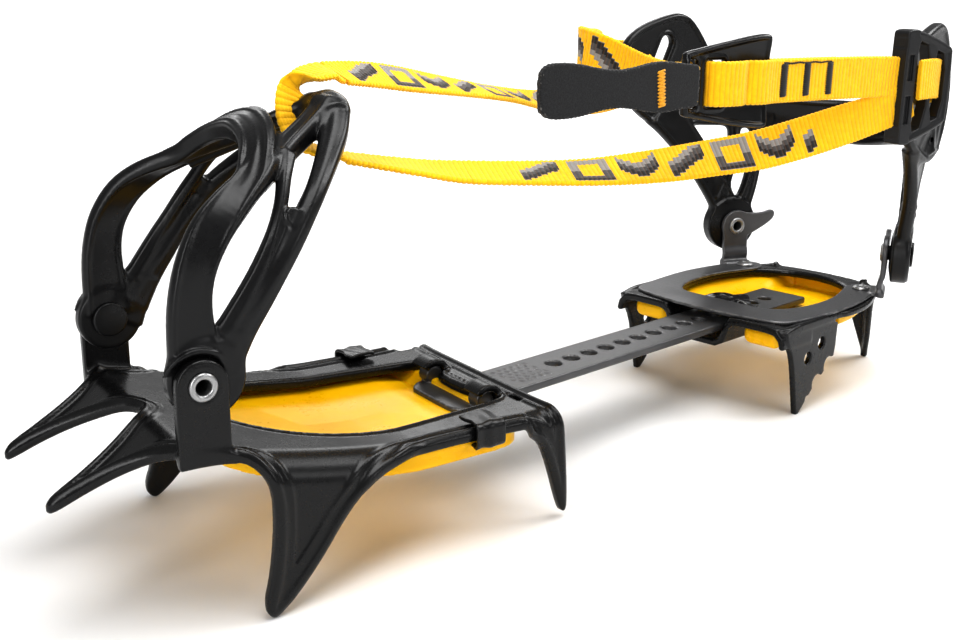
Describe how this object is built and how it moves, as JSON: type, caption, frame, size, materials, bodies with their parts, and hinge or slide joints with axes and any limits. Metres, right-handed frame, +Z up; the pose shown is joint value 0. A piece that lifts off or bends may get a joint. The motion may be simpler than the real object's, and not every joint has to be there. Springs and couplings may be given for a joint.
{
  "type": "crampon",
  "caption": "Strap-on walking crampon: spiked front and heel frames on an adjustable bar, plastic toe and heel cages, ribbed webbing strap with buckle.",
  "frame": {"origin": "bottom centre of the whole object: middle of its length and width, at the level of the long points' tips", "axes": "+X runs along the linking bar from toe to heel, +Y to the foot's inner side, +Z up"},
  "size_m": [0.3616, 0.1412, 0.1405],
  "materials": {
    "forged_steel": "black powder coat over forged steel, smooth with a low sheen",
    "bar_steel": "black coated spring steel strip, satin",
    "cover_steel": "grey satin sheet steel, bright at its cut edges",
    "rivet_steel": "bare rolled steel",
    "snow_plate_plastic": "yellow moulded plastic, satin",
    "cage_plastic": "black moulded plastic, satin",
    "webbing": "ribbed yellow webbing with a woven grey and black block pattern",
    "buckle_metal": "black coated pressed metal, satin",
    "tab_leather": "dark grey grained leather with yellow stitching",
    "slider_plastic": "black moulded plastic, matt"
  },
  "bodies": {
    "front": {"front_frame": "forged_steel", "front_snow_plate": "snow_plate_plastic", "snow_plate_clip_inner": "forged_steel", "snow_plate_clip_outer": "forged_steel", "toe_rivet_inner": "rivet_steel", "toe_rivet_outer": "rivet_steel"},
    "toe_cage": {"toe_cage": "cage_plastic", "strap_toe_loop": "webbing"},
    "bar": {"linking_bar": "bar_steel"},
    "heel": {"heel_frame": "forged_steel", "heel_cover_plate": "cover_steel", "cover_plate_rivets": "rivet_steel", "heel_rivet_inner": "rivet_steel", "heel_rivet_outer": "rivet_steel", "heel_snow_plate": "snow_plate_plastic", "latch_spindle": "rivet_steel"},
    "latch": {"latch_lever": "bar_steel"},
    "heel_cage": {"heel_cage": "cage_plastic", "strap_outer_strand": "webbing", "strap_inner_strand": "webbing", "ankle_strap": "webbing", "buckle_strap": "webbing"},
    "buckle": {"strap_buckle": "buckle_metal"},
    "tab": {"pull_tab": "tab_leather"},
    "slider": {"strap_slider": "slider_plastic"}
  },
  "joints": [
    {"name": "toe_cage_hinge", "type": "hinge", "parent": "front", "child": "toe_cage", "pos_m": [-0.14543, 0.01983, 0.0617], "axis": [0.1663, 0.9861, 0], "range_deg": [-35, 20], "deforming": ["strap_outer_strand", "strap_inner_strand"]},
    {"name": "bar_hinge", "type": "hinge", "parent": "front", "child": "bar", "pos_m": [-0.05155, 0.004, 0.0332], "axis": [0.1663, 0.9861, 0], "range_deg": [-4, 16], "deforming": ["strap_outer_strand", "strap_inner_strand"]},
    {"name": "heel_length_slide", "type": "slide", "parent": "bar", "child": "heel", "axis": [1, 0, 0], "range_m": [-0.02694, 0.01796], "deforming": ["strap_outer_strand", "strap_inner_strand"]},
    {"name": "latch_hinge", "type": "hinge", "parent": "heel", "child": "latch", "pos_m": [0.08288, 0.00301, 0.0327], "axis": [0, -1, 0], "range_deg": [0, 8]},
    {"name": "heel_cage_hinge", "type": "hinge", "parent": "heel", "child": "heel_cage", "pos_m": [0.14728, 0.00301, 0.0515], "axis": [0, 1, 0], "range_deg": [-10, 10], "deforming": ["strap_outer_strand", "strap_inner_strand"]},
    {"name": "buckle_swing", "type": "hinge", "parent": "heel_cage", "child": "buckle", "pos_m": [0.0222, -0.05051, 0.1255], "axis": [0, 0, 1], "range_deg": [-15, 15], "deforming": ["ankle_strap", "buckle_strap"]},
    {"name": "pull_tab_swing", "type": "hinge", "parent": "buckle", "child": "tab", "pos_m": [-0.00859, -0.04341, 0.1255], "axis": [0, 0, 1], "range_deg": [-10, 40], "deforming": ["ankle_strap", "buckle_strap"]},
    {"name": "slider_slide", "type": "slide", "parent": "heel_cage", "child": "slider", "axis": [0.9848, -0.1736, 0], "range_m": [-0.004, 0.003], "deforming": ["buckle_strap", "strap_outer_strand"]}
  ]
}
